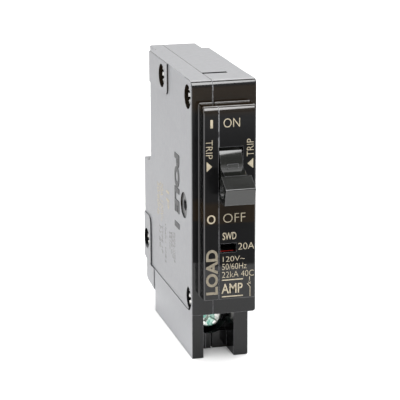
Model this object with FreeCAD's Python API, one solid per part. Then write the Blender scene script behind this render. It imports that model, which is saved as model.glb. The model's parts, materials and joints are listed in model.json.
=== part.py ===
"""Single-pole plug-on circuit breaker, built as an assembly. Millimetres.

Design frame: X across the breaker (left cover -X, right base +X), Y back from
the case's front face, Z up from the foot. Every shape is then shifted so that
the origin is the bottom centre of the whole breaker's box.
"""
import FreeCAD, Part
import math
import os

V = FreeCAD.Vector
os.makedirs("parts", exist_ok=True)

# ---- driving dimensions: case ------------------------------------------------
HALF_W = 9.3            # half the module width
FIELD = 8.9             # recessed side field
FOOT_L = 9.1            # left side of the foot, below the hood
FOOT_R = 7.1            # right side of the foot, stepped in under the hood
HEIGHT = 79.65
HOOD_Z = 12.9           # underside of the hood
REAR_Y = 58.3
STEP_Y = 50.0           # full width ends here on the upper rear
REAR_X = 6.9            # half width of the stepped-in upper rear
SHELF_Z = 45.3
SEAM = -3.2             # parting plane between cover and base
SEAM_FRONT = -2.85      # parting plane on the raised front panel
SEAM_BREAK = 0.1        # broken edge along the parting line
FRONT_R = 1.8           # rounded top edge of the case and of the raised panel
PANEL_FOOT_R = 0.35
HOOD_CORNER_R = 1.0
FOOT_CORNER_R = 0.5
WALL = 1.6
CAV = 7.5               # half width of the cavity
PANEL_Y = -5.0
PANEL_X = (-7.05, 7.65)
PANEL_Z = (18.6, 73.5)
MID = 0.6               # centre plane of the mechanism
FRAME_Y = 21.63         # the origin lies this far behind the case's front face

# ---- fasteners and bearings --------------------------------------------------
RIVETS = ((3.95, 74.8), (34.0, 75.0), (4.1, 16.9), (54.8, 20.3))
WELL_R = (3.4, 3.4, 3.4, 3.1)    # counterbores for the rivets' ends
WELL_D = 2.6
RIVET_R = 1.75
CLINCH = 1.65           # length of the clinched star
RUN = 0.05              # radial running clearance

# ---- handle ------------------------------------------------------------------
PIVOT = (3.5, 55.5)
OFF_DEG = 16.5
TRAVEL_DEG = 33.0
DOME_R = 9.45
TAB_R = 9.68            # raised tab on the dome, still clear of the slot's edge
HANDLE_X = (-2.55, 3.75)
PADDLE_X = (-3.6, 4.8)
TRUNNION_R = 2.5

# ---- contact arm, contacts, line side ----------------------------------------
ARM_PIVOT = (8.77, 57.06)
ARM_SWING = 0.4         # arm's own swing, backwards, per degree of handle
ARM_X = (-1.0, 2.2)
STRAP_Z = (56.6, 57.8)
JAW_LEAF = ((3.6, 46.4), (3.6, 47.6), (1.15, 51.6), (1.15, 52.4), (2.3, 53.6))
JAW_Z = (58.6, 70.0)

# ---- trip unit ---------------------------------------------------------------
CRADLE = (10.0, 42.5)
FLAG = (3.2, 35.5)
ARMATURE = (25.2, 26.5)
TAIL_R = 0.33           # hooks of the toggle spring
CALIBRATION = (0.6, 28.0)       # axis of the calibration screw
CALIBRATION_R = 1.5

# ---- load terminal -----------------------------------------------------------
SCREW = (-1.9, 9.8)
SCREW_R = 1.97
CHAMBER_X = (-5.85, 3.0)


# ---- small helpers -----------------------------------------------------------
def box(x, y, z):
    return Part.makeBox(x[1] - x[0], y[1] - y[0], z[1] - z[0], V(x[0], y[0], z[0]))


def rod_x(x, at, r):
    return Part.makeCylinder(r, x[1] - x[0], V(x[0], at[0], at[1]), V(1, 0, 0))


def rod_y(y, at, r):
    return Part.makeCylinder(r, y[1] - y[0], V(at[0], y[0], at[1]), V(0, 1, 0))


def rod_z(z, at, r):
    return Part.makeCylinder(r, z[1] - z[0], V(at[0], at[1], z[0]), V(0, 0, 1))


def ring_x(x, at, r_out, r_in):
    return rod_x(x, at, r_out).cut(rod_x((x[0] - 1, x[1] + 1), at, r_in))


def prism(outline, x):
    """A (y, z) outline extruded across x."""
    pts = [V(x[0], y, z) for y, z in outline]
    return Part.Face(Part.makePolygon(pts + pts[:1])).extrude(V(x[1] - x[0], 0, 0))


def plan(outline, z):
    """An (x, y) outline extruded up z."""
    pts = [V(x, y, z[0]) for x, y in outline]
    return Part.Face(Part.makePolygon(pts + pts[:1])).extrude(V(0, 0, z[1] - z[0]))


def band(points, t):
    """Outline of a strip of thickness t centred on a polyline, corners mitred."""
    left = []
    right = []
    for i, p in enumerate(points):
        a = points[max(i - 1, 0)]
        b = points[min(i + 1, len(points) - 1)]
        d1 = unit(a, p) if i > 0 else unit(p, b)
        d2 = unit(p, b) if i < len(points) - 1 else d1
        n1 = (-d1[1], d1[0])
        n2 = (-d2[1], d2[0])
        m = (n1[0] + n2[0], n1[1] + n2[1])
        k = t / (m[0] * n1[0] + m[1] * n1[1]) / 2
        left.append((p[0] + m[0] * k, p[1] + m[1] * k))
        right.append((p[0] - m[0] * k, p[1] - m[1] * k))
    return left + right[::-1]


def unit(a, b):
    length = math.hypot(b[0] - a[0], b[1] - a[1])
    return ((b[0] - a[0]) / length, (b[1] - a[1]) / length)


def fuse(*shapes):
    first = shapes[0]
    return first.fuse(list(shapes[1:])).removeSplitter()


def cut(shape, *tools):
    return shape.cut(list(tools)).removeSplitter()


def fillet_x(shape, corners):
    """Round the edges that run along x through each (y, z); radius last."""
    for y, z, r in corners:
        edges = []
        for e in shape.Edges:
            b = e.BoundBox
            if b.XLength > 0.5 and b.YLength < 1e-4 and b.ZLength < 1e-4:
                if abs(b.YMin - y) < 1e-3 and abs(b.ZMin - z) < 1e-3:
                    edges.append(e)
        shape = shape.makeFillet(r, edges)
    return shape


def edges_on_x(shape, x):
    return [e for e in shape.Edges
            if abs(e.BoundBox.XMin - x) < 1e-4 and abs(e.BoundBox.XMax - x) < 1e-4]


def swing(shape, at, degrees):
    """Turn about an x axis through (y, z); positive lifts the front."""
    turned = shape.copy()
    turned.rotate(V(0, at[0], at[1]), V(-1, 0, 0), degrees)
    return turned


def coil(start, axis, length, r, wire, pitch):
    """A closed-end helical spring as one swept solid along axis."""
    helix = Part.makeHelix(pitch, length, r)
    first = helix.Edges[0]
    p = first.valueAt(first.FirstParameter)
    t = first.tangentAt(first.FirstParameter)
    section = Part.Wire(Part.makeCircle(wire, p, t))
    spring = Part.Wire(helix.Edges).makePipeShell([section], True, True)
    spring.rotate(V(0, 0, 0), *turn_to(axis))
    spring.translate(V(*start))
    return spring


def turn_to(axis):
    rot = FreeCAD.Rotation(V(0, 0, 1), V(*axis))
    return rot.Axis, math.degrees(rot.Angle)


def export(name, shape):
    moved = shape.copy()
    moved.translate(V(0, -FRAME_Y, 0))
    moved.exportStep("parts/%s.step" % name)


# ---- the two case halves -----------------------------------------------------
def case_outline(foot_front):
    return [(foot_front, 0), (foot_front, HOOD_Z), (0, HOOD_Z), (0, HEIGHT),
            (STEP_Y, HEIGHT), (STEP_Y, SHELF_Z), (REAR_Y, SHELF_Z), (REAR_Y, 14.0),
            (55.5, 13.3), (55.5, 7.9), (53.8, 7.1), (45.0, 6.4), (45.0, 0)]


def case_half(side):
    """Outer form of one half: side -1 is the cover, +1 the base."""
    wide = (-HALF_W, SEAM) if side < 0 else (SEAM, HALF_W)
    narrow = (-REAR_X, SEAM) if side < 0 else (SEAM, REAR_X)
    panel = (PANEL_X[0], SEAM_FRONT) if side < 0 else (SEAM_FRONT, PANEL_X[1])
    body = prism(case_outline(0.4), wide)
    body = fillet_x(body, [(0, HEIGHT, FRONT_R), (STEP_Y, SHELF_Z, 3.4), (STEP_Y, HEIGHT, 0.5)])
    body = body.makeFillet(0.4, edges_on_x(body, side * HALF_W))
    body = body.makeChamfer(SEAM_BREAK, edges_on_x(body, SEAM))
    rear = box(narrow, (STEP_Y - 3, REAR_Y), (SHELF_Z - 2, HEIGHT))
    rear = fillet_x(rear, [(REAR_Y, HEIGHT, 0.5)])
    rear = rear.makeChamfer(SEAM_BREAK, edges_on_x(rear, SEAM))
    front = box(panel, (PANEL_Y, 1.0), PANEL_Z)
    front = fillet_x(front, [(PANEL_Y, PANEL_Z[1], FRONT_R), (PANEL_Y, PANEL_Z[0], 0.4)])
    upright = [e for e in front.Edges if abs(e.BoundBox.YMax - PANEL_Y) < 1e-4
               and abs(e.BoundBox.XMax - panel[0 if side < 0 else 1]) < 1e-4]
    front = front.makeFillet(0.35, upright)
    front = front.makeChamfer(SEAM_BREAK, edges_on_x(front, SEAM_FRONT))
    return round_panel_foot(fuse(body, rear, front), side)


def round_panel_foot(shape, side):
    """The small inside radius where the raised panel leaves the case's front."""
    edges = []
    for e in shape.Edges:
        b = e.BoundBox
        flat = abs(b.YMin) < 1e-4 and abs(b.YMax) < 1e-4
        along_top = b.XLength > 1 and b.ZLength < 1e-4 and abs(b.ZMin - PANEL_Z[1]) < 1e-4
        outer = PANEL_X[0 if side < 0 else 1]
        up_side = b.ZLength > 20 and abs(b.XMin - outer) < 1e-4 and b.XLength < 1e-4
        if flat and (along_top or up_side):
            edges.append(e)
    return shape.makeFillet(PANEL_FOOT_R, edges)


def side_field(side):
    """The shallow recess that leaves the rim and the rivet pads proud."""
    x = (-HALF_W - 1, -FIELD) if side < 0 else (FIELD, HALF_W + 1)
    field = box(x, (-1, REAR_Y + 1), (13.1, HEIGHT + 1))
    rim = box(x, (-2, 4.9), (13, HEIGHT + 2))
    top_front = fillet_x(box(x, (-2, 7.8), (70.1, HEIGHT + 2)), [(7.8, 70.1, 2.0)])
    top_rear = fillet_x(box(x, (27.7, REAR_Y + 2), (70.3, HEIGHT + 2)), [(27.7, 70.3, 1.8)])
    low_rear = fillet_x(box(x, (50.1, REAR_Y + 2), (12, 28.1)), [(50.1, 28.1, 2.2)])
    return cut(field, rim, top_front, top_rear, low_rear)


def cavity():
    """Room inside the case, across both halves."""
    x = (-CAV, CAV)
    return fuse(box(x, (WALL, STEP_Y - WALL), (17.6, HEIGHT - WALL)),
                box((-5.4, 5.4), (STEP_Y - 4, REAR_Y - WALL), (SHELF_Z + WALL, HEIGHT - WALL)),
                box(x, (STEP_Y - 4, REAR_Y - WALL), (15.0, SHELF_Z - WALL)),
                box((-CAV, FOOT_R - WALL), (21.6, 43.4), (WALL, 18)),
                box((PANEL_X[0] + 1.5, PANEL_X[1] - 1.5), (PANEL_Y + 1.4, WALL + 1),
                    (PANEL_Z[0] + 1.6, PANEL_Z[1] - 1.6)))


def terminal_chamber():
    """Foot opening, screw well, clamp room and the wire's way in from below."""
    return fuse(box(CHAMBER_X, (-1, 8.0), (-1, HOOD_Z)),
                box(CHAMBER_X, (2.0, 9.5), (5.0, 14.6)),
                rod_y((7.0, 12.2), SCREW, 5.4),
                box((-6.4, 2.6), (12.0, 20.0), (4.5, 16.0)),
                box((-5.0, 1.2), (12.0, 18.05), (-1, 6)),
                rod_y((19.0, 26.5), SCREW, 2.6))


def wells(side):
    tools = []
    x = (-HALF_W - 1, -HALF_W + WELL_D) if side < 0 else (HALF_W - WELL_D, HALF_W + 1)
    for at, r in zip(RIVETS, WELL_R):
        tools.append(rod_x(x, at, r))
        tools.append(rod_x((-HALF_W, HALF_W), at, RIVET_R))
    return tools


def posts(side):
    """Solid posts round the rivets, and the bearing bosses of the pivots."""
    x = (-CAV - 0.5, SEAM) if side < 0 else (SEAM, CAV + 0.5)
    parts = []
    for y, z in RIVETS:
        post = rod_x(x, (y, z), 4.4)
        parts.append(post.common(box((-20, 20), (0.8, REAR_Y - 0.8), (14.2, HEIGHT - 0.8))))
    inner = (-CAV - 0.5, -4.6) if side < 0 else (4.6, CAV + 0.5)
    parts.append(rod_x(inner, PIVOT, 4.0).common(box((-20, 20), (0.2, 9), (50, 61))))
    parts.append(rod_x(inner, FLAG, 2.3))
    if side > 0:
        parts.append(rod_x(inner, CRADLE, 3.2))
    return parts


def ribs(side):
    """Webs that carry the line strap, the arc stack and the load strap."""
    x = (-CAV - 0.2, SEAM) if side < 0 else (SEAM, CAV + 0.2)
    parts = [box(x, (20.0, 44.6), (54.6, STRAP_Z[0])),
             box(x, (39.0, 40.6), (STRAP_Z[1] + 0.4, 74.6)),
             box(x, (33.4, 35.0), (19.0, 54.0))]
    if side > 0:
        parts.append(box((5.7, CAV + 0.2), (21.4, 39.0), (74.4, 76.0)))
    else:
        parts.append(box((-CAV - 0.2, -5.7), (21.4, 39.0), (74.4, 76.0)))
    return parts


def bores():
    """Bearing bores through both halves."""
    return [rod_x((-7.35, 7.35), PIVOT, TRUNNION_R + RUN),
            rod_x((-7.35, 7.35), FLAG, 1.0 + RUN),
            rod_x((0, 7.35), CRADLE, 1.5 + RUN),
            rod_x((-20, 0), CRADLE, 3.65 + RUN)]


def openings():
    """Handle slot, flag window, arc vent, jaw slot and calibration hole."""
    return [box((SEAM_FRONT - 0.01, 4.06), (PANEL_Y - 1, 1.7), (48.5, 62.15)),
            box((-2.45, 2.15), (PANEL_Y - 1, PANEL_Y + 2), (32.25, 34.8)),
            box((SEAM, 3.85), (10.2, 11.9), (HEIGHT - 3, HEIGHT + 1)),
            box((-3.0, 3.0), (STEP_Y, REAR_Y + 1), (57.6, 71.2)),
            rod_z((-1, 3), CALIBRATION, CALIBRATION_R + RUN)]


def strap_room():
    """Clear space cut through ribs and posts for the conductors."""
    return [box((-4.6, 5.4), (18, 48), (STRAP_Z[0] - 0.2, STRAP_Z[1] + 0.4)),
            box((-3.2, 4.6), (28.0, 37.5), (16, 46.5)),
            box((-5.9, 5.9), (21.4, 38.9), (58.4, 74.2)),
            box((-4.4, 4.4), (44.4, 57), (57.4, 72.4)),
            box((MID - 3.1, MID + 2.5), (17.7, 30.3), (14.0, 19.6))]


def case_part(side):
    body = case_half(side)
    room = cavity()
    for solid in posts(side) + ribs(side):
        room = room.cut(solid)
    foot = []
    if side > 0:
        foot.append(box((FOOT_R, HALF_W + 1), (-1, 46), (-1, HOOD_Z)))
        foot.append(corner_round(HALF_W, HOOD_Z, HOOD_CORNER_R))
        foot.append(corner_round(FOOT_R, 0, FOOT_CORNER_R))
    else:
        foot.append(box((-HALF_W - 1, -FOOT_L), (-1, 46), (-1, 13.1)))
    terminal = fuse(wall_round_terminal(), box((-8, 6), (20, 21.6), (0.5, 18)))
    room = room.cut(terminal)
    shape = cut(body, room, side_field(side), terminal_chamber(), *foot)
    shape = cut(shape, *(wells(side) + bores() + openings() + strap_room()))
    shape = cut(shape, box((-1.7, -1.2), (7.9, 9.4), (-1, 5.1)))
    if side > 0:
        shape = cut(shape, box((SEAM - 0.1, SEAM_FRONT), (PANEL_Y - 1, 1.0), PANEL_Z))
    return max(shape.Solids, key=lambda solid: solid.Volume)


def corner_round(x, z, r):
    """What is taken off a lower right-hand corner that runs from front to back."""
    block = box((x - r, x + 0.5), (-1, 46), (z - 0.5, z + r))
    return block.cut(rod_y((-2, 47), (x - r, z + r), r))


def wall_round_terminal():
    return box((-CAV, FOOT_R - WALL), (WALL, 21.6), (15.8, 17.8))


# ---- fasteners ---------------------------------------------------------------
def rivets():
    """Tubular rivets: a domed head on the right, a clinched star on the left."""
    group = []
    for y, z in RIVETS:
        at = (y, z)
        left = -HALF_W + WELL_D
        right = HALF_W - WELL_D
        shank = rod_x((left, right + 0.2), at, RIVET_R - 0.02)
        head = rod_x((right, right + 1.1), at, 2.8)
        head = head.makeFillet(0.5, edges_on_x(head, right + 1.1))
        flare = Part.makeCone(1.9, 3.0, CLINCH, V(left, y, z), V(-1, 0, 0))
        hollow = Part.makeCone(1.15, 2.55, CLINCH, V(left, y, z), V(-1, 0, 0))
        bore = rod_x((left, left + 6), at, 1.15)
        notches = []
        for k in range(4):
            outline = [(left - 0.5, y), (left - 1.8, y - 0.6), (left - 1.8, y + 0.6)]
            notch = plan(outline, (z - 3, z + 3))
            notch.rotate(V(0, y, z), V(1, 0, 0), 22.5 + 45 * k)
            notches.append(notch)
        group.append(cut(fuse(shank, head, flare), bore, hollow, *notches))
    return Part.makeCompound(group)


# ---- handle ------------------------------------------------------------------
def polar(points):
    """Points given along and across the handle, at its off angle, as (y, z)."""
    a = math.radians(OFF_DEG)
    out = []
    for u, v in points:
        y = PIVOT[0] - u * math.cos(a) - v * math.sin(a)
        z = PIVOT[1] - u * math.sin(a) + v * math.cos(a)
        out.append((y, z))
    return out


def handle():
    mid = (HANDLE_X[0] + HANDLE_X[1]) / 2
    sweep = [(0, 0)]
    for k in range(-6, 7):
        a = math.radians(10 * k)
        sweep.append((14 * math.cos(a), 14 * math.sin(a)))
    dome = rod_x(HANDLE_X, PIVOT, DOME_R).common(prism(polar(sweep), HANDLE_X))
    neck = prism(polar([(8.5, 3.65), (13.2, 3.7), (13.2, -3.7), (8.5, -3.65)]), HANDLE_X)
    grip = prism(polar([(12.9, 3.75), (18.6, 2.5), (18.6, -2.5), (12.9, -3.75)]), PADDLE_X)
    grip = soften_grip(grip)
    side = []
    for x in ((PADDLE_X[0] - 1, PADDLE_X[0] + 0.45), (PADDLE_X[1] - 0.45, PADDLE_X[1] + 1)):
        side.append(rod_x(x, polar([(15.2, 0)])[0], 1.75))
    grip = cut(grip, *side)
    wedge = polar([(0, 0), (13, 4.6), (12, 6.6)])
    tab = ring_x((mid - 1.2, mid + 1.8), PIVOT, TAB_R, DOME_R - 1).common(
        prism(wedge, (mid - 1.2, mid + 1.8)))
    hub = rod_x(HANDLE_X, PIVOT, 4.4)
    shaft = rod_x((-7.2, 7.2), PIVOT, TRUNNION_R)
    lobe = prism(band([PIVOT, ARM_PIVOT], 5.0), HANDLE_X)
    eye = rod_x(HANDLE_X, ARM_PIVOT, 2.5)
    solid = fuse(dome, neck, grip, tab, hub, shaft, lobe, eye)
    fork = rod_x((ARM_X[0] - 0.35, ARM_X[1] + 0.35), ARM_PIVOT, 4.6)
    pin = rod_x((-9, 9), ARM_PIVOT, 1.0)
    notch = prism(polar([(8.6, 6.6), (11, 6.6), (11, 4.75), (8.6, 4.75)]),
                  (mid + 2.0, mid + 3.3))
    return cut(solid, fork, pin, notch)


def soften_grip(grip):
    edges = [e for e in grip.Edges if e.BoundBox.XLength > 5]
    grip = grip.makeFillet(0.45, edges)
    return grip


def arm_pin():
    return rod_x((HANDLE_X[0] + 0.05, HANDLE_X[1] - 0.05), ARM_PIVOT, 1.0)


# ---- contact arm -------------------------------------------------------------
def to_off(shape):
    """Take a shape drawn with the contacts closed to the open, rest position."""
    opened = swing(shape, PIVOT, -TRAVEL_DEG)
    return swing(opened, ARM_PIVOT, TRAVEL_DEG * ARM_SWING)


def closed_pivot():
    a = math.radians(-TRAVEL_DEG)
    dy = ARM_PIVOT[0] - PIVOT[0]
    dz = ARM_PIVOT[1] - PIVOT[1]
    return (PIVOT[0] + dy * math.cos(a) - dz * math.sin(a),
            PIVOT[1] + dy * math.sin(a) + dz * math.cos(a))


def contact_arm():
    root = closed_pivot()
    bar = prism(band([root, (18.4, 60.75), (25.0, 60.75)], 1.6), ARM_X)
    eye = rod_x(ARM_X, root, 2.2)
    arm = fuse(bar, eye)
    hook = rod_x((-3, 5), (15.6, 58.75), 0.55)
    return cut(to_off(cut(arm, rod_x((-3, 5), root, 1.0 + RUN), hook)), hook_slot(False))


def moving_contact():
    return to_off(rod_z((58.95, 59.95), (MID, 22.6), 2.0))


def fixed_contact():
    return rod_z((STRAP_Z[1], 58.9), (MID, 22.6), 2.0)


# ---- line side ---------------------------------------------------------------
def line_strap():
    flat = box((-3.4, 4.6), (19.0, 45.9), STRAP_Z)
    post = box((-3.4, 3.4), (44.9, 45.9), (STRAP_Z[0], 69.5))
    return fuse(flat, post)


def bus_jaw():
    plate = box((-4.05, 4.05), (45.95, 46.85), JAW_Z)
    right = plan(band(JAW_LEAF, 0.9), JAW_Z)
    left = right.mirror(V(0, 0, 0), V(1, 0, 0))
    return fuse(plate, right, left)


def jaw_spring():
    """A clip over the top of the jaw that squeezes its two leaves."""
    outer = box((-2.5, 2.5), (50.8, 52.4), (59.4, 71.0))
    inner = box((-1.75, 1.75), (50.0, 53.0), (59.0, 70.2))
    return cut(outer, inner, leaf_room())


def leaf_room():
    right = plan(band(JAW_LEAF, 0.96), (JAW_Z[0] - 0.5, JAW_Z[1] + 0.1))
    return right.fuse(right.mirror(V(0, 0, 0), V(1, 0, 0)))


def arc_plates():
    """A stack of notched steel plates over the fixed contact."""
    group = []
    for k in range(5):
        z = 63.2 + 2.2 * k
        plate = box((MID - 5.0, MID + 5.0), (24.0, 37.6), (z, z + 1.0))
        notch = plan([(MID - 3.2, 23.0), (MID + 3.2, 23.0), (MID + 1.2, 31.0), (MID - 1.2, 31.0)],
                     (z - 1, z + 2))
        group.append(cut(plate, notch))
    return Part.makeCompound(group)


def arc_side_walls():
    group = []
    for x in ((MID - 5.8, MID - 5.0), (MID + 5.0, MID + 5.3)):
        group.append(box(x, (21.6, 37.95), (62.0, 73.1)))
    return Part.makeCompound(group)


def vent_baffle():
    plate = box((MID - 5.6, MID + 5.2), (38.0, 38.8), (62.0, 73.1))
    holes = []
    for i in range(3):
        for k in range(4):
            holes.append(rod_y((37, 40), (MID - 3 + 3 * i, 64.0 + 2.7 * k), 0.7))
    return cut(plate, *holes)


# ---- trip unit ---------------------------------------------------------------
def toggle_ends():
    """The two hooks of the main spring, as (x, y, z)."""
    hook = to_off(Part.makeSphere(0.1, V(MID, 15.6, 58.75))).BoundBox.Center
    return V(MID, 16.2, 46.2), V(MID, hook.y, hook.z)


def toggle_spring():
    low, high = toggle_ends()
    axis = high - low
    length = axis.Length
    axis.normalize()
    start = low + axis * 2.0
    coiled = length - 5.0
    pitch = coiled / round(coiled / 0.9)
    body = coil(tuple(start), tuple(axis), coiled, 1.45, 0.3, pitch)
    tails = []
    for end, way, reach in ((low, axis, 2.0), (high, axis * -1, 3.0)):
        tails.append(Part.makeCylinder(TAIL_R, reach + 0.2, end, way))
        tails.append(Part.makeCylinder(TAIL_R, 1.45, end + way * reach, V(1, 0, 0)))
        tails.append(Part.makeCylinder(TAIL_R, 1.9, end - V(0.95, 0, 0), V(1, 0, 0)))
    return fuse(body, *tails)


def hook_slot(at_cradle):
    """The slot that lets the spring's tail reach the cross hole."""
    low, high = toggle_ends()
    axis = high - low
    axis.normalize()
    if at_cradle:
        return Part.makeCylinder(0.42, 3.0, low, axis)
    return Part.makeCylinder(0.42, 3.0, high, axis * -1)


def cradle():
    x = (MID - 1.0, MID + 1.0)
    bar = prism(band([(11, 42.7), (20.5, 45.2), (24.3, 44.8)], 3.2), x)
    disc = rod_x(x, CRADLE, 4.2)
    hook = prism([(14.4, 44), (18.4, 44), (17.3, 47.2), (15.2, 47.2)], x)
    finger = prism(band([CRADLE, (5.6, 39.6)], 2.4), x)
    plate = fuse(bar, disc, hook, finger)
    holes = [rod_x((-3, 5), CRADLE, 2.2), rod_x((-3, 5), (16.2, 46.2), 0.55)]
    return cut(plate, hook_slot(True), *holes)


def trip_hub():
    """Moulded hub: a journal in the cover's port, a spigot in the base's boss."""
    journal = rod_x((-8.5, MID - 1.0), CRADLE, 3.65)
    waist = rod_x((MID - 1.0, MID + 1.0), CRADLE, 2.2)
    collar = rod_x((MID + 1.0, 4.3), CRADLE, 3.0)
    spigot = rod_x((4.3, 7.1), CRADLE, 1.5)
    socket = hexagon((-9.5, -5.5), CRADLE, 1.75)
    return cut(fuse(journal, waist, collar, spigot), socket)


def hexagon(x, at, r):
    pts = []
    for k in range(6):
        a = math.radians(60 * k + 15)
        pts.append((at[0] + r * math.cos(a), at[1] + r * math.sin(a)))
    return prism(pts, x)


def trip_flag():
    x = (-2.4, 2.1)
    wedge = [FLAG]
    for k in range(5):
        a = math.radians(180 + 30 + 6 * k)
        wedge.append((FLAG[0] + 9 * math.cos(a), FLAG[1] + 9 * math.sin(a)))
    face = ring_x(x, FLAG, 6.4, 5.5).common(prism(wedge, x))
    web = prism(band([FLAG, (FLAG[0] - 4.4, FLAG[1] - 3.9)], 1.6), (MID - 0.7, MID + 0.7))
    arm = prism(band([FLAG, (6.3, 37.1)], 1.6), (MID - 1.0, MID + 1.0))
    shaft = rod_x((-7.2, 7.2), FLAG, 1.0)
    hub = rod_x((MID - 1.6, MID + 1.6), FLAG, 1.7)
    return fuse(face, web, arm, shaft, hub)


def flag_spring():
    return coil((MID + 1.9, FLAG[0], FLAG[1]), (1, 0, 0), 1.8, 1.5, 0.25, 0.75)


def bimetal():
    return box((MID - 2.2, MID + 2.2), (30.0, 31.0), (19.0, 46.0))


def magnet_yoke():
    back = box((MID - 4.0, MID + 4.0), (31.4, 32.8), (28.0, 41.0))
    legs = []
    for s in (-1, 1):
        a, b = sorted((MID + s * 2.8, MID + s * 4.0))
        legs.append(box((a, b), (27.0, 32.8), (28.0, 41.0)))
        legs.append(box((a, b), (23.8, 32.8), (25.0, 28.2)))
    spacer = box((MID - 1.6, MID + 1.6), (31.0, 31.5), (30.0, 33.0))
    return cut(fuse(back, spacer, *legs), rod_x((-6, 7), ARMATURE, 1.0))


def armature():
    broad = box((MID - 4.0, MID + 4.0), (24.6, 25.8), (29.0, 41.0))
    tall = box((MID - 2.4, MID + 2.4), (24.6, 25.8), (26.0, 48.0))
    knuckle = rod_x((MID - 2.4, MID + 2.4), ARMATURE, 1.9)
    window = box((MID - 1.5, MID + 1.5), (24, 27), (42.2, 46.9))
    hook = box((MID - 2.4, MID - 1.5), (25.7, 27.2), (43.0, 44.2))
    plate = fuse(broad, tall, knuckle, hook)
    return cut(plate, window, rod_x((-6, 7), ARMATURE, 1.0 + RUN))


def armature_pin():
    return rod_x((MID - 4.0, MID + 4.0), ARMATURE, 1.0)


def armature_spring():
    return coil((MID, 26.1, 38.6), (0, 1, 0), 3.4, 1.0, 0.2, 0.75)


def flexible_braid():
    """Braided copper lead from the bimetal's free end to the contact arm."""
    end = to_off(Part.makeSphere(0.1, V(MID, 13.2, 59.0))).BoundBox.Center
    pts = [V(MID, 29.3, 44.6), V(MID - 0.5, 28.3, 46.4), V(MID - 3.0, 26.6, 49.4),
           V(MID - 3.4, 20.5, 51.6), V(MID - 3.2, 17.0, 55.6), V(MID - 2.8, end.y + 1.2, end.z - 1.6),
           V(MID - 2.3, end.y, end.z)]
    path = Part.BSplineCurve()
    path.interpolate(pts)
    edge = path.toShape()
    start = Part.makeCircle(0.75, pts[0], edge.tangentAt(edge.FirstParameter))
    return Part.Wire([edge]).makePipeShell([Part.Wire(start)], True, True)


# ---- load side ---------------------------------------------------------------
def load_strap():
    x = (MID - 2.8, MID + 2.2)
    pad = box((-6.0, 2.2), (18.1, 19.5), (4.9, 15.7))
    neck = prism(band([(18.8, 14.4), (18.8, 18.6), (29.3, 18.6), (29.3, 25.0)], 1.4), x)
    neck = neck.cut(box((-9, 9), (28.0, 29.99), (24.9, 26)))
    return cut(fuse(pad, neck), rod_y((15, 22), SCREW, SCREW_R + RUN))


def calibration_screw():
    body = rod_z((1.2, 17.9), CALIBRATION, CALIBRATION_R)
    socket = rod_z((1.0, 2.4), CALIBRATION, 0.8)
    return cut(body, socket)


def terminal_screw():
    head = rod_y((9.0, 11.3), SCREW, 3.8)
    rim = [e for e in head.Edges if abs(e.BoundBox.YMax - 9.0) < 1e-4]
    head = head.makeFillet(0.7, rim)
    shank = rod_y((11.2, 22.0), SCREW, SCREW_R)
    tip = rod_y((22.0, 22.6), SCREW, 1.5)
    slot = box((SCREW[0] - 5, SCREW[0] + 5), (8.5, 10.2), (SCREW[1] - 0.55, SCREW[1] + 0.55))
    cross = box((SCREW[0] - 0.5, SCREW[0] + 0.5), (8.5, 10.4), (SCREW[1] - 2.4, SCREW[1] + 2.4))
    slot.rotate(V(SCREW[0], 0, SCREW[1]), V(0, 1, 0), 35)
    cross.rotate(V(SCREW[0], 0, SCREW[1]), V(0, 1, 0), 35)
    return cut(fuse(head, shank, tip), slot, cross)


def lock_washer():
    """Serrated washer under the screw head."""
    ring = rod_y((11.3, 12.1), SCREW, 3.6)
    teeth = []
    for k in range(16):
        tooth = box((SCREW[0] + 3.2, SCREW[0] + 4.4), (11.0, 12.4), (SCREW[1] - 0.2, SCREW[1] + 0.2))
        tooth.rotate(V(SCREW[0], 0, SCREW[1]), V(0, 1, 0), 22.5 * k)
        teeth.append(tooth)
    return cut(ring, rod_y((11, 13), SCREW, SCREW_R), *teeth)


def clamp_plate():
    """Serrated saddle that presses the wire against the strap."""
    plate = box((SCREW[0] - 4.1, SCREW[0] + 4.1), (12.25, 13.7), (SCREW[1] - 4.3, SCREW[1] + 4.3))
    cuts = [rod_y((12, 15), SCREW, SCREW_R + 0.35)]
    for k in range(6):
        z = SCREW[1] - 3.4 + 1.36 * k
        cuts.append(prism([(13.75, z - 0.45), (13.2, z), (13.75, z + 0.45)],
                          (SCREW[0] - 5, SCREW[0] + 5)))
    return cut(plate, *cuts)


# ---- build -------------------------------------------------------------------
def main():
    export("left_cover", case_part(-1))
    export("right_base", case_part(1))
    for make in (rivets, handle, arm_pin, contact_arm, moving_contact, fixed_contact,
                 line_strap, bus_jaw, jaw_spring, arc_plates, arc_side_walls, vent_baffle,
                 toggle_spring, cradle, trip_hub, trip_flag, flag_spring, bimetal,
                 magnet_yoke, armature, armature_pin, armature_spring, flexible_braid,
                 load_strap, calibration_screw, terminal_screw, lock_washer, clamp_plate):
        export(make.__name__, make())


main()
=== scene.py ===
"""Looks for the single-pole plug-on breaker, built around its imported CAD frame.

Metres, +Z up, front at -Y.
"""
import json
import math

import bpy
from mathutils import Matrix, Vector


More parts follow.
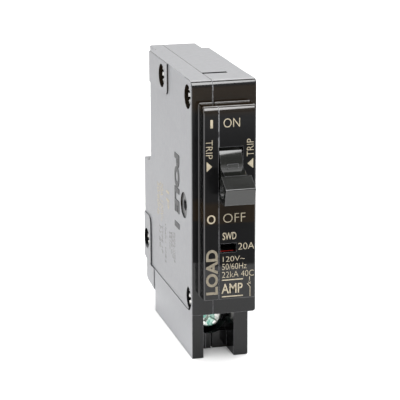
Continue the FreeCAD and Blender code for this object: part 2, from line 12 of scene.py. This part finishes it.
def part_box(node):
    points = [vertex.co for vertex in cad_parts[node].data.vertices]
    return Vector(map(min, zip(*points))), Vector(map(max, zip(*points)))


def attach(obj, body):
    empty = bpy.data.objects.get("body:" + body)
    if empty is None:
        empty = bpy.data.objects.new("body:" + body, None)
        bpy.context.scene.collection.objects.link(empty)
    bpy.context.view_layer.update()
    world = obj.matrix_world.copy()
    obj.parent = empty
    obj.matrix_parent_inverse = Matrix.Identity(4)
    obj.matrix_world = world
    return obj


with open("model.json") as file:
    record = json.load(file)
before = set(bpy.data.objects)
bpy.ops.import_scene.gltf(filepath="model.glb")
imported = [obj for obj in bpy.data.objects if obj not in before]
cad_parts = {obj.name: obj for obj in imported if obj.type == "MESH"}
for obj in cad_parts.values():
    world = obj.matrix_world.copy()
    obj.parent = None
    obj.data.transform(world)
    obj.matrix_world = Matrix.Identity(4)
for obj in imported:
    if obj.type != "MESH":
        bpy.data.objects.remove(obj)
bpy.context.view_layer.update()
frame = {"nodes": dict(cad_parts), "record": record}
nodes = frame["nodes"]

MM = 0.001
LOW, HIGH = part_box("left_cover")
TOP = HIGH.z
CASE_FRONT = -21.63 * MM          # the case's flat front, behind the raised panel
PANEL_FRONT = LOW.y               # the raised panel's face
FIELD_X = -8.9 * MM               # the left side's recessed field
FOOT_TOP = 12.9 * MM
STEP_BACK = CASE_FRONT + 50.0 * MM      # where the case narrows towards the rear

# ---- camera ------------------------------------------------------------------
CAMERA_AT = (-129.35 * MM, -484.89 * MM, 175.16 * MM)
YAW = math.radians(14.81)
PITCH = math.radians(15.04)
ROLL = math.radians(-0.14)
LENS = 162.0


def add_camera():
    forward = Vector((math.sin(YAW) * math.cos(PITCH), math.cos(YAW) * math.cos(PITCH), -math.sin(PITCH)))
    right = Vector((math.cos(YAW), -math.sin(YAW), 0.0))
    up = right.cross(forward)
    tilted_right = math.cos(ROLL) * right + math.sin(ROLL) * up
    tilted_up = -math.sin(ROLL) * right + math.cos(ROLL) * up
    camera = bpy.data.objects.new("camera", bpy.data.cameras.new("camera"))
    turn = Matrix((tilted_right, tilted_up, -forward)).transposed().to_4x4()
    camera.matrix_world = Matrix.Translation(CAMERA_AT) @ turn
    camera.data.lens = LENS
    camera.data.sensor_width = 36.0
    camera.data.clip_start = 0.01
    bpy.context.scene.collection.objects.link(camera)
    bpy.context.scene.camera = camera


# ---- node graph helper -------------------------------------------------------
class Graph:
    """A material under construction; math on sockets or numbers gives sockets."""

    def __init__(self, name):
        self.material = bpy.data.materials.new(name)
        self.material.use_nodes = True
        self.tree = self.material.node_tree
        self.tree.nodes.clear()
        output = self.add("ShaderNodeOutputMaterial")
        self.shader = self.add("ShaderNodeBsdfPrincipled")
        self.link(self.shader.outputs[0], output.inputs[0])
        coords = self.add("ShaderNodeTexCoord")
        self.place = coords.outputs["Object"]
        self.facing = coords.outputs["Normal"]

    def add(self, kind):
        return self.tree.nodes.new(kind)

    def link(self, source, target):
        self.tree.links.new(source, target)

    def feed(self, value, socket):
        if isinstance(value, bpy.types.NodeSocket):
            self.link(value, socket)
        else:
            socket.default_value = value

    def math(self, operation, a, b=0.0, clamp=False):
        node = self.add("ShaderNodeMath")
        node.operation = operation
        node.use_clamp = clamp
        self.feed(a, node.inputs[0])
        self.feed(b, node.inputs[1])
        return node.outputs[0]

    def xyz(self, vector):
        node = self.add("ShaderNodeSeparateXYZ")
        self.link(vector, node.inputs[0])
        return node.outputs

    def ramp(self, value, low, high):
        """0 below low, 1 above high, smooth between."""
        node = self.add("ShaderNodeMapRange")
        node.interpolation_type = "SMOOTHSTEP"
        self.feed(value, node.inputs["Value"])
        node.inputs["From Min"].default_value = low
        node.inputs["From Max"].default_value = high
        return node.outputs["Result"]

    def spread(self, value, low, high):
        """A 0 to 1 value stretched over low to high."""
        node = self.add("ShaderNodeMapRange")
        self.feed(value, node.inputs["Value"])
        node.inputs["To Min"].default_value = low
        node.inputs["To Max"].default_value = high
        return node.outputs["Result"]

    def noise(self, scale, detail=3.0, stretch=(1, 1, 1)):
        mapping = self.add("ShaderNodeMapping")
        mapping.inputs["Scale"].default_value = stretch
        self.link(self.place, mapping.inputs["Vector"])
        node = self.add("ShaderNodeTexNoise")
        node.inputs["Scale"].default_value = scale
        node.inputs["Detail"].default_value = detail
        self.link(mapping.outputs[0], node.inputs["Vector"])
        return node.outputs[0]

    def mix(self, factor, a, b):
        node = self.add("ShaderNodeMix")
        node.data_type = "RGBA"
        self.feed(factor, node.inputs[0])
        self.feed(a, node.inputs[6])
        self.feed(b, node.inputs[7])
        return node.outputs[2]

    def blend(self, factor, a, b):
        """A plain number between a and b."""
        node = self.add("ShaderNodeMix")
        self.feed(factor, node.inputs[0])
        self.feed(a, node.inputs[2])
        self.feed(b, node.inputs[3])
        return node.outputs[0]

    def edges(self, radius):
        """Near 1 on sharp edges, 0 on flats, from how far a rounded normal leaves the true one."""
        bevel = self.add("ShaderNodeBevel")
        bevel.samples = 4
        bevel.inputs["Radius"].default_value = radius
        true = self.add("ShaderNodeNewGeometry")
        node = self.add("ShaderNodeVectorMath")
        node.operation = "DOT_PRODUCT"
        self.link(bevel.outputs[0], node.inputs[0])
        self.link(true.outputs["Normal"], node.inputs[1])
        return self.ramp(self.math("SUBTRACT", 1.0, node.outputs["Value"]), 0.01, 0.25)

    def bump(self, height, distance, strength=1.0):
        node = self.add("ShaderNodeBump")
        node.inputs["Distance"].default_value = distance
        node.inputs["Strength"].default_value = strength
        self.link(height, node.inputs["Height"])
        self.link(node.outputs[0], self.shader.inputs["Normal"])

    def set(self, name, value):
        self.feed(value, self.shader.inputs[name])


def grey(value, tint=(1.0, 1.0, 1.0)):
    return (value * tint[0], value * tint[1], value * tint[2], 1.0)


# ---- materials ---------------------------------------------------------------
# Rivet centres in millimetres, behind the case front and above the foot.
RIVETS = ((3.95, 74.8), (34.0, 75.0), (4.1, 16.9), (54.8, 20.3))
COOL = (0.97, 0.98, 1.03)
# Olive tint in the handle's black: a painted reflection tint.
OLIVE_REFLECTION_TINT = (1.0, 1.05, 0.92)
FLAG_LINE = 0.66                        # drop over reach, from the flag's axis, where its red paint starts
BLACK_GLOSS = 0.0045
PAINTED_REFLECTION_BROWN = (0.012, 0.008, 0.0045, 1.0)
# The case is black plastic; the grey of its outside walls is a painted reflection of the bright room at
# grazing angles.
SIDE_PAINTED_SHEEN = 0.195
# Top faces: that painted reflection made darker, painted shade.
TOP_PAINTED_SHADE = SIDE_PAINTED_SHEEN * 0.62
# Low on the sides: that painted reflection made lighter, painted light.
FOOT_PAINTED_LIGHT = SIDE_PAINTED_SHEEN * 1.45


def rivet_well(g):
    """1 inside the rivets' wells, 0 outside."""
    _, y, z = g.xyz(g.place)
    near = 0.0
    for at_y, at_z in RIVETS:
        across = g.math("SUBTRACT", y, CASE_FRONT + at_y * MM)
        up = g.math("SUBTRACT", z, at_z * MM)
        squares = g.math("ADD", g.math("MULTIPLY", across, across), g.math("MULTIPLY", up, up))
        reach = g.math("SQRT", squares)
        near = g.math("MAXIMUM", near, g.ramp(reach, 3.50 * MM, 3.45 * MM))
    return near


def outer_mask(g):
    """1 on the satin outside walls (sides, top, rear), 0 on the polished front and inside; on these walls
    the black plastic is given a painted reflection grey.
    """
    x, y, z = g.xyz(g.place)
    nx, ny, nz = g.xyz(g.facing)
    off = g.math("ABSOLUTE", x)
    sideways = g.ramp(g.math("ABSOLUTE", nx), 0.45, 0.75)
    wide = g.ramp(off, 8.70 * MM, 8.80 * MM)
    under_step = g.math("MULTIPLY", g.ramp(off, 8.86 * MM, 8.88 * MM), g.ramp(nz, -0.6, -0.9))
    past_step = g.ramp(y, STEP_BACK, STEP_BACK + 0.2 * MM)
    narrow = g.math("MULTIPLY", g.ramp(off, 6.80 * MM, 6.86 * MM), past_step)
    below_shelf = g.ramp(z, FOOT_TOP + 0.01 * MM, FOOT_TOP - 0.01 * MM)
    foot = g.math("MULTIPLY", g.ramp(x, 7.02 * MM, 7.08 * MM), below_shelf)
    walls = g.math("MULTIPLY", sideways, g.math("MAXIMUM", wide, g.math("MAXIMUM", narrow, foot)))
    outside_wells = g.math("SUBTRACT", 1.0, rivet_well(g))
    walls = g.math("MAXIMUM", walls, g.math("MULTIPLY", under_step, outside_wells))
    behind_panel = g.ramp(y, CASE_FRONT - 0.1 * MM, CASE_FRONT + 0.05 * MM)
    side_of_case = g.math("MULTIPLY", walls, behind_panel)
    upward = g.math("MULTIPLY", g.ramp(nz, 0.90, 0.985), g.ramp(z, TOP - 0.3 * MM, TOP - 0.1 * MM))
    shelf = g.math("MULTIPLY", g.ramp(nz, 0.7, 0.95), g.ramp(y, STEP_BACK - 0.2 * MM, STEP_BACK))
    rear = g.math("MULTIPLY", g.ramp(ny, 0.7, 0.95), g.ramp(y, STEP_BACK - 0.2 * MM, STEP_BACK))
    caps = g.math("MAXIMUM", upward, g.math("MAXIMUM", shelf, rear))
    return g.math("MAXIMUM", side_of_case, caps)


def polish(g):
    """Specular level of the black front: low on flats, higher low down and on curves, dull in openings."""
    _, y, z = g.xyz(g.place)
    nx, ny, _ = g.xyz(g.facing)
    flat = g.ramp(ny, -0.96, -0.995)
    low_down = g.ramp(z, 29.0 * MM, 27.8 * MM)
    high_up = g.ramp(z, 62.0 * MM, 72.0 * MM)
    flats = g.blend(low_down, g.spread(high_up, 0.05, 0.12), 0.34)
    behind = g.ramp(y, CASE_FRONT + 0.2 * MM, CASE_FRONT + 0.4 * MM)
    inner_wall = g.ramp(g.math("ABSOLUTE", nx), 0.8, 0.9)
    chamber = g.math("MULTIPLY", g.math("MULTIPLY", behind, inner_wall), g.ramp(z, 15.0 * MM, 14.5 * MM))
    dull = g.math("MAXIMUM", rivet_well(g), chamber)
    return g.blend(dull, g.blend(flat, 0.75, flats), 0.04)


def painted_reflection_bands(g):
    """Two faint brown bands across the black front, painted reflections."""
    z = g.xyz(g.place)[2]
    upper = g.math("MULTIPLY", g.ramp(z, 70.0 * MM, 73.0 * MM), g.ramp(z, 78.5 * MM, 77.5 * MM))
    lower = g.math("MULTIPLY", g.ramp(z, 40.2 * MM, 40.8 * MM), g.ramp(z, 47.5 * MM, 45.5 * MM))
    return g.math("MAXIMUM", upper, lower)


def painted_seam_highlight(g):
    """The ragged pale line where the halves meet, on the front only: a painted highlight."""
    x, y, z = g.xyz(g.place)
    ny = g.xyz(g.facing)[1]
    on_panel = g.ramp(y, CASE_FRONT - 4.0 * MM, CASE_FRONT - 4.1 * MM)
    middle = g.spread(on_panel, -3.2 * MM, -2.85 * MM)
    wander = g.spread(g.noise(700.0, 3.0), -0.12 * MM, 0.12 * MM)
    off = g.math("ABSOLUTE", g.math("SUBTRACT", g.math("ADD", x, wander), middle))
    near = g.ramp(off, 0.22 * MM, 0.14 * MM)
    ahead = g.ramp(ny, -0.2, -0.5)
    broken = g.ramp(g.noise(500.0, 2.0), 0.34, 0.50)
    above_handle = g.spread(g.ramp(z, 58.0 * MM, 64.0 * MM), 0.16, 0.45)
    return g.math("MULTIPLY", g.math("MULTIPLY", near, ahead), g.math("MULTIPLY", broken, above_handle))


def case_material(name):
    g = Graph(name)
    outside = outer_mask(g)
    cloud = g.noise(90.0, 4.0)
    fine = g.noise(5200.0, 2.0)
    edge = g.edges(0.18 * MM)
    front = g.mix(g.spread(cloud, 0.0, 1.0), grey(BLACK_GLOSS, COOL), grey(BLACK_GLOSS * 1.5, COOL))
    # Faint brown bands on the front: painted reflections.
    front = g.mix(painted_reflection_bands(g), front, PAINTED_REFLECTION_BROWN)
    front = g.mix(g.math("MULTIPLY", edge, 0.7), front, grey(0.26, COOL))
    # Pale seam line: painted highlight.
    front = g.mix(painted_seam_highlight(g), front, grey(0.30, COOL))
    # Outside walls: painted reflection grey, wandering a little in tone.
    side = g.mix(g.ramp(cloud, 0.3, 0.7), grey(SIDE_PAINTED_SHEEN * 0.95, COOL), grey(SIDE_PAINTED_SHEEN * 1.04, COOL))
    side = g.mix(g.ramp(fine, 0.25, 0.75), grey(SIDE_PAINTED_SHEEN * 0.93, COOL), side)
    # Upward faces darker: painted shade.
    side = g.mix(g.ramp(g.xyz(g.facing)[2], 0.5, 0.9), side, grey(TOP_PAINTED_SHADE, COOL))
    # Lighter towards the foot: painted light.
    side = g.mix(g.ramp(g.xyz(g.place)[2], 18.0 * MM, 2.0 * MM), side, grey(FOOT_PAINTED_LIGHT, COOL))
    g.set("Base Color", g.mix(outside, front, side))
    gloss = g.spread(cloud, 0.07, 0.12)
    satin = g.spread(g.noise(700.0, 3.0), 0.36, 0.46)
    g.set("Roughness", g.blend(outside, gloss, satin))
    g.set("Specular IOR Level", g.blend(outside, polish(g), 0.5))
    g.bump(g.math("MULTIPLY", fine, outside), 0.012 * MM, 0.55)
    return g.material


def handle_material():
    g = Graph("handle_black")
    cloud = g.noise(160.0, 3.0)
    fine = g.noise(4200.0, 2.0)
    edge = g.edges(0.22 * MM)
    body = g.mix(cloud, grey(0.007, OLIVE_REFLECTION_TINT), grey(0.012, OLIVE_REFLECTION_TINT))
    g.set("Base Color", g.mix(g.math("MULTIPLY", edge, 0.6), body, grey(0.22, COOL)))
    g.set("Roughness", g.spread(cloud, 0.05, 0.09))
    g.shader.inputs["Specular IOR Level"].default_value = 0.7
    g.bump(fine, 0.0015 * MM, 0.3)
    return g.material


def plain_material(name, low, high, rough=(0.4, 0.55), metallic=0.0, scale=400.0, bump=0.004, worn=None,
                   stretch=(1, 1, 1)):
    """Colour and roughness wander between two values; worn is the colour of rubbed edges."""
    g = Graph(name)
    wander = g.noise(scale, 4.0, stretch)
    colour = g.mix(g.ramp(wander, 0.3, 0.7), (*low, 1.0), (*high, 1.0))
    if worn:
        colour = g.mix(g.math("MULTIPLY", g.edges(0.12 * MM), 0.7), colour, (*worn, 1.0))
    g.set("Base Color", colour)
    g.set("Roughness", g.spread(wander, *rough))
    g.shader.inputs["Metallic"].default_value = metallic
    g.bump(g.noise(scale * 4, 3.0, stretch), bump * MM, 0.6)
    return g.material


def flag_material():
    """A black lever whose curved face has red paint towards its lower end; the paint also glows a little,
    painted light.
    """
    g = Graph("flag_red")
    _, y, z = g.xyz(g.place)
    ahead = g.math("SUBTRACT", CASE_FRONT + 3.2 * MM, y)
    below = g.math("SUBTRACT", 35.5 * MM, z)
    drop = g.math("DIVIDE", below, g.math("MAXIMUM", ahead, 0.1 * MM))
    low_end = g.ramp(drop, FLAG_LINE, FLAG_LINE + 0.03)
    painted = g.math("MULTIPLY", low_end, g.ramp(ahead, 2.0 * MM, 2.2 * MM))
    painted = g.math("MULTIPLY", painted, g.ramp(g.xyz(g.facing)[1], -0.3, -0.5))
    wander = g.noise(900.0, 3.0)
    red = g.mix(wander, (0.92, 0.02, 0.015, 1.0), (1.0, 0.04, 0.03, 1.0))
    g.set("Base Color", g.mix(painted, grey(0.008), red))
    # The red paint glows a little: painted light.
    g.shader.inputs["Emission Color"].default_value = (1.0, 0.04, 0.03, 1.0)
    g.set("Emission Strength", g.math("MULTIPLY", painted, 0.22))
    g.set("Roughness", g.spread(wander, 0.35, 0.5))
    return g.material


def zinc_material(name, level):
    """Blue-green passivated zinc with rubbed, brighter edges and near-white patches that are painted
    glints; level dims it, and a low level makes a painted-shade copy.
    """
    g = Graph(name)
    wander = g.noise(900.0, 3.0)
    painted_glints = g.noise(420.0, 2.0)
    colour = g.mix(g.ramp(wander, 0.35, 0.65), (0.05 * level, 0.28 * level, 0.21 * level, 1.0),
                   (0.55 * level, 0.75 * level, 0.66 * level, 1.0))
    # Near-white patches: painted glints.
    colour = g.mix(g.ramp(painted_glints, 0.50, 0.57), colour, (0.97 * level, 0.98 * level, 0.93 * level, 1.0))
    rubbed = (0.85 * level, 0.88 * level, 0.84 * level, 1.0)
    colour = g.mix(g.math("MULTIPLY", g.edges(0.15 * MM), 0.6), colour, rubbed)
    g.set("Base Color", colour)
    g.shader.inputs["Metallic"].default_value = 0.9
    g.set("Roughness", g.spread(wander, 0.22, 0.42))
    g.bump(wander, 0.01 * MM, 0.5)
    return g.material


def make_materials():
    steel = dict(metallic=0.95, rough=(0.28, 0.45))
    return {
        "case_cover": case_material("case_cover"),
        "case_base": case_material("case_base"),
        "handle_black": handle_material(),
        "hub_grey": plain_material("hub_grey", (0.03, 0.03, 0.032), (0.05, 0.05, 0.052), (0.35, 0.5)),
        "flag_red": flag_material(),
        "rivet_steel": plain_material("rivet_steel", (0.42, 0.42, 0.41), (0.62, 0.61, 0.58), (0.22, 0.4),
                                      0.95,
                                      600.0, 0.006, (0.9, 0.9, 0.86)),
        "screw_zinc": zinc_material("screw_zinc", 1.0),
        "spring_steel": plain_material("spring_steel", (0.35, 0.35, 0.36), (0.5, 0.5, 0.5), scale=800.0,
                                       **steel),
        "plate_steel": plain_material("plate_steel", (0.48, 0.48, 0.49), (0.62, 0.62, 0.62), scale=500.0,
                                      stretch=(1, 6, 1), worn=(0.8, 0.8, 0.8), **steel),
        "copper": plain_material("copper", (0.62, 0.27, 0.15), (0.82, 0.42, 0.27), scale=450.0,
                                 worn=(0.95, 0.6, 0.45), **steel),
        "tinned_copper": plain_material("tinned_copper", (0.6, 0.58, 0.54), (0.78, 0.76, 0.72), scale=450.0,
                                        **steel),
        "silver": plain_material("silver", (0.75, 0.74, 0.72), (0.9, 0.89, 0.87), scale=700.0, **steel),
        "bimetal_strip": plain_material("bimetal_strip", (0.45, 0.42, 0.37), (0.58, 0.54, 0.48),
                                        scale=300.0, stretch=(1, 1, 0.1), **steel),
        "fibre": plain_material("fibre", (0.42, 0.26, 0.16), (0.56, 0.38, 0.25), (0.6, 0.75), scale=900.0),
    }


def dress_nodes(materials):
    for part in frame["record"]["subparts"]:
        mesh = nodes[part["node"]].data
        mesh.materials.clear()
        mesh.materials.append(materials[part["material_slot"]])
    # The clamp plate gets the zinc dimmed to 0.12: a painted-shade copy.
    nodes["clamp_plate"].data.materials.clear()
    nodes["clamp_plate"].data.materials.append(zinc_material("clamp_zinc_painted_shade", 0.12))


# ---- lettering ---------------------------------------------------------------
def print_material(name, colour, strength):
    """Pad-printed ink, a little uneven, that lets some of the plastic through."""
    g = Graph(name)
    wear = g.noise(2600.0, 4.0)
    ink = tuple(c * strength for c in colour)
    thin = tuple(c * 0.62 for c in ink)
    g.set("Base Color", g.mix(g.ramp(wear, 0.25, 0.6), (*thin, 1.0), (*ink, 1.0)))
    g.set("Roughness", g.spread(wear, 0.4, 0.6))
    return g.material


def text_mesh(words, bold, thickness):
    """A filled, solid mesh of the words, in the XY plane."""
    curve = bpy.data.curves.new("words", "FONT")
    curve.body = words
    curve.offset = bold
    curve.extrude = 0.5
    curve.resolution_u = 4
    temporary = bpy.data.objects.new("words", curve)
    bpy.context.scene.collection.objects.link(temporary)
    bpy.context.view_layer.update()
    mesh = bpy.data.meshes.new_from_object(temporary.evaluated_get(bpy.context.evaluated_depsgraph_get()))
    bpy.data.objects.remove(temporary)
    for vertex in mesh.vertices:
        vertex.co.z *= thickness
    return mesh


def fit(mesh, corner, across, up, outward, turn=0):
    """Stretch a flat mesh over a rectangle: corner, two edge vectors; turn rotates it by quarter turns."""
    for vertex in mesh.vertices:
        flat = Matrix.Rotation(math.radians(90 * turn), 3, "Z") @ vertex.co
        vertex.co = flat
    low = Vector([min(v.co[i] for v in mesh.vertices) for i in range(3)])
    high = Vector([max(v.co[i] for v in mesh.vertices) for i in range(3)])
    for vertex in mesh.vertices:
        u = (vertex.co.x - low.x) / (high.x - low.x)
        v = (vertex.co.y - low.y) / (high.y - low.y)
        vertex.co = corner + u * across + v * up + vertex.co.z * outward
    mesh.update()


def add_piece(name, mesh, material, body):
    mesh.materials.clear()
    mesh.materials.append(material)
    piece = bpy.data.objects.new(name, mesh)
    bpy.context.scene.collection.objects.link(piece)
    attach(piece, body)
    return piece


INK = 0.05 * MM


def front_words(name, words, x, z, turn=0, bold=0.0, ink=None):
    """Words on the raised panel, over x and z ranges in millimetres."""
    mesh = text_mesh(words, bold, INK)
    corner = Vector((x[0] * MM, PANEL_FRONT, z[0] * MM))
    fit(mesh, corner, Vector(((x[1] - x[0]) * MM, 0, 0)), Vector((0, 0, (z[1] - z[0]) * MM)),
        Vector((0, -1, 0)), turn)
    return add_piece(name, mesh, ink or front_ink, "housing")


def side_words(name, words, y, z, ink, bold=0.0, thickness=INK):
    """Words on the left field that read downward; y and z in millimetres from the case's front and foot."""
    mesh = text_mesh(words, bold, thickness)
    corner = Vector((FIELD_X, CASE_FRONT + y[1] * MM, z[0] * MM))
    fit(mesh, corner, Vector((0, (y[0] - y[1]) * MM, 0)), Vector((0, 0, (z[1] - z[0]) * MM)),
        Vector((-1, 0, 0)), -1)
    return add_piece(name, mesh, ink, "housing")


def flat_shape(name, outline, plane, ink):
    """A thin raised polygon on the front panel, from (x, z) points in millimetres, counter-clockwise."""
    count = len(outline)
    front = [(x * MM, plane - INK / 2, z * MM) for x, z in outline]
    back = [(x * MM, plane + INK / 2, z * MM) for x, z in outline]
    faces = [tuple(range(count)), tuple(reversed(range(count, 2 * count)))]
    faces += [(i, i + count, (i + 1) % count + count, (i + 1) % count) for i in range(count)]
    mesh = bpy.data.meshes.new(name)
    mesh.from_pydata(front + back, [], faces)
    mesh.update()
    return add_piece(name, mesh, ink, "housing")


def bar(name, x, z, ink):
    outline = [(x[0], z[0]), (x[1], z[0]), (x[1], z[1]), (x[0], z[1])]
    return flat_shape(name, outline, PANEL_FRONT, ink)


def stroke(name, start, end, width, ink):
    """A straight printed line from start to end on the panel."""
    run = Vector((end[0] - start[0], end[1] - start[1]))
    side = Vector((-run.y, run.x)).normalized() * width / 2
    outline = [(start[0] - side.x, start[1] - side.y), (end[0] - side.x, end[1] - side.y),
               (end[0] + side.x, end[1] + side.y), (start[0] + side.x, start[1] + side.y)]
    return flat_shape(name, outline, PANEL_FRONT, ink)


TAN = (0.42, 0.365, 0.26)
front_ink = print_material("front_ink", TAN, 1.0)
dim_ink = print_material("dim_ink", TAN, 0.5)
side_ink = print_material("side_ink", (0.36, 0.31, 0.22), 1.0)
side_grey = print_material("side_grey", (0.17, 0.165, 0.16), 1.0)
moulded_dark = print_material("moulded_dark", (0.012, 0.012, 0.013), 1.0)


def front_lettering():
    bar("mark_on_bar", (-5.23, -4.53), (67.6, 69.9), front_ink)
    front_words("mark_on", "ON", (-1.52, 3.1), (67.6, 70.1), bold=-0.012)
    front_words("mark_off_ring", "O", (-6.21, -3.82), (40.7, 43.25), bold=0.01)
    front_words("mark_off", "OFF", (-1.6, 4.71), (40.8, 43.35), bold=-0.015)
    front_words("mark_trip_left", "TRIP", (-6.49, -4.66), (59.1, 64.3), turn=-1, bold=-0.015)
    front_words("mark_trip_right", "TRIP", (5.08, 6.98), (59.2, 64.1), turn=1, bold=-0.015)
    flat_shape("mark_arrow_left", [(-6.3, 55.5), (-4.72, 56.9), (-6.3, 58.3)], PANEL_FRONT, front_ink)
    flat_shape("mark_arrow_right", [(6.87, 55.8), (6.87, 58.6), (5.27, 57.2)], PANEL_FRONT, front_ink)
    front_words("mark_duty", "SWD", (-1.77, 2.15), (35.9, 38.0), bold=0.01)
    front_words("mark_rating", "20A", (2.70, 7.31), (32.8, 34.7), bold=-0.01)
    front_words("mark_volts", "120V~", (-1.7, 4.65), (29.6, 31.1), bold=-0.01)
    front_words("mark_hertz", "50/60Hz", (-1.9, 5.1), (27.3, 29.0), bold=-0.012)
    front_words("mark_breaking", "22kA 40C", (-1.93, 7.2), (25.0, 26.7), bold=-0.012)
    bar("mark_rule_top", (-2.0, 4.1), (24.15, 24.45), front_ink)
    front_words("mark_block", "AMP", (-2.1, 4.0), (20.4, 23.2), bold=0.01)
    bar("mark_rule_low", (-2.0, 4.1), (19.35, 19.65), front_ink)
    front_words("mark_load", "LOAD", (-6.54, -3.11), (20.3, 33.3), turn=1, bold=0.03, ink=dim_ink)
    stroke("mark_symbol_top", (6.0, 24.9), (6.0, 23.6), 0.18, front_ink)
    stroke("mark_symbol_cross_a", (5.7, 23.2), (6.3, 22.7), 0.16, front_ink)
    stroke("mark_symbol_cross_b", (5.7, 22.7), (6.3, 23.2), 0.16, front_ink)
    stroke("mark_symbol_blade", (5.3, 22.9), (6.22, 21.7), 0.18, front_ink)
    stroke("mark_symbol_low", (6.15, 21.7), (6.15, 19.1), 0.18, front_ink)


def side_lettering():
    side_words("mould_poles", "POLE 1", (15.2, 20.5), (33.8, 55.5), moulded_dark, 0.055, 0.24 * MM)
    side_words("print_rating", "20A 120V~", (34.7, 38.0), (30.5, 42.5), side_ink)
    side_words("print_hertz", "50/60Hz", (39.0, 42.1), (31.5, 41.5), side_ink)
    side_words("print_symbol", "1P", (27.3, 30.8), (36.4, 41.8), side_ink, 0.01)
    for k in range(4):
        y = 20.4 + 1.9 * k
        side_words("print_note_%d" % (k + 1), ("CU/AL WIRE", "14-8 AWG", "60/75 C", "2.8 N.m")[k],
                   (y, y + 1.3), (22.3 + 0.8 * k, 31.3 - 0.4 * k), side_grey)
    side_words("print_column", "LOAD 1  LINE 2", (31.4, 32.7), (19.1, 30.9), side_grey)
    side_words("print_block_a", "TYPE 1P", (35.4, 37.2), (20.8, 29.4), side_grey)
    side_words("print_block_b", "N 20", (38.2, 40.0), (22.0, 28.6), side_grey)


# ---- studio ------------------------------------------------------------------
FLOOR_RADIUS = 0.85
FLOOR_SIDES = 96
ROOM = 0.25                             # strength of the dim part of the room
SWEEP = 1.1                             # strength of the pale sweep behind and along the horizon


def add_floor():
    g = Graph("floor")
    g.set("Base Color", g.mix(g.noise(6.0, 2.0), grey(0.80), grey(0.83)))
    g.set("Roughness", g.spread(g.noise(30.0, 2.0), 0.7, 0.8))
    mesh = bpy.data.meshes.new("floor")
    turns = [math.tau * k / FLOOR_SIDES for k in range(FLOOR_SIDES)]
    rim = [(FLOOR_RADIUS * math.cos(turn), FLOOR_RADIUS * math.sin(turn), 0.0) for turn in turns]
    mesh.from_pydata(rim, [], [tuple(range(FLOOR_SIDES))])
    mesh.materials.append(g.material)
    floor = bpy.data.objects.new("floor", mesh)
    bpy.context.scene.collection.objects.link(floor)
    floor.location.z = -0.00005


def area_light(name, at, target, size, power, colour=(1, 1, 1)):
    data = bpy.data.lights.new(name, "AREA")
    data.shape = "RECTANGLE"
    data.size, data.size_y = size
    data.energy = power
    data.color = colour
    light = bpy.data.objects.new(name, data)
    light.location = at
    light.rotation_euler = (Vector(target) - Vector(at)).to_track_quat("-Z", "Y").to_euler()
    light.visible_camera = False
    bpy.context.scene.collection.objects.link(light)


def add_lights():
    area_light("softbox_above", (-0.01, -0.29, 0.44), (-0.01, -0.24, 0.0), (0.30, 0.46), 3.7)
    area_light("sweep_back", (0.30, 0.95, 1.0), (0.30, 0.90, 0.0), (1.6, 1.3), 34.0)
    area_light("side_left", (-0.75, 0.15, 0.30), (0.0, 0.0, 0.04), (0.4, 0.5), 2.05)
    add_world()


def add_world():
    """A dim room with a bright sweep behind the object and a pale line all round near the horizon."""
    world = bpy.data.worlds.new("studio")
    world.use_nodes = True
    tree = world.node_tree
    coords = tree.nodes.new("ShaderNodeTexCoord")
    split = tree.nodes.new("ShaderNodeSeparateXYZ")
    tree.links.new(coords.outputs["Generated"], split.inputs[0])
    behind = fade(tree, split.outputs[1], 0.25, 0.85)
    low = fade(tree, split.outputs[2], 0.55, 0.20)
    both = tree.nodes.new("ShaderNodeMath")
    both.operation = "MULTIPLY"
    tree.links.new(behind, both.inputs[0])
    tree.links.new(low, both.inputs[1])
    horizon = fade(tree, split.outputs[2], 0.22, 0.06)
    either = tree.nodes.new("ShaderNodeMath")
    either.operation = "MAXIMUM"
    tree.links.new(both.outputs[0], either.inputs[0])
    tree.links.new(horizon, either.inputs[1])
    level = tree.nodes.new("ShaderNodeMapRange")
    level.inputs["To Min"].default_value = ROOM
    level.inputs["To Max"].default_value = SWEEP
    tree.links.new(either.outputs[0], level.inputs["Value"])
    tree.links.new(level.outputs["Result"], tree.nodes["Background"].inputs["Strength"])
    tree.nodes["Background"].inputs["Color"].default_value = (1, 1, 1, 1)
    bpy.context.scene.world = world
    bpy.context.scene.view_settings.view_transform = "Standard"


def fade(tree, value, low, high):
    node = tree.nodes.new("ShaderNodeMapRange")
    node.interpolation_type = "SMOOTHSTEP"
    node.inputs["From Min"].default_value = low
    node.inputs["From Max"].default_value = high
    tree.links.new(value, node.inputs["Value"])
    return node.outputs["Result"]


add_camera()
dress_nodes(make_materials())
front_lettering()
side_lettering()
add_floor()
add_lights()
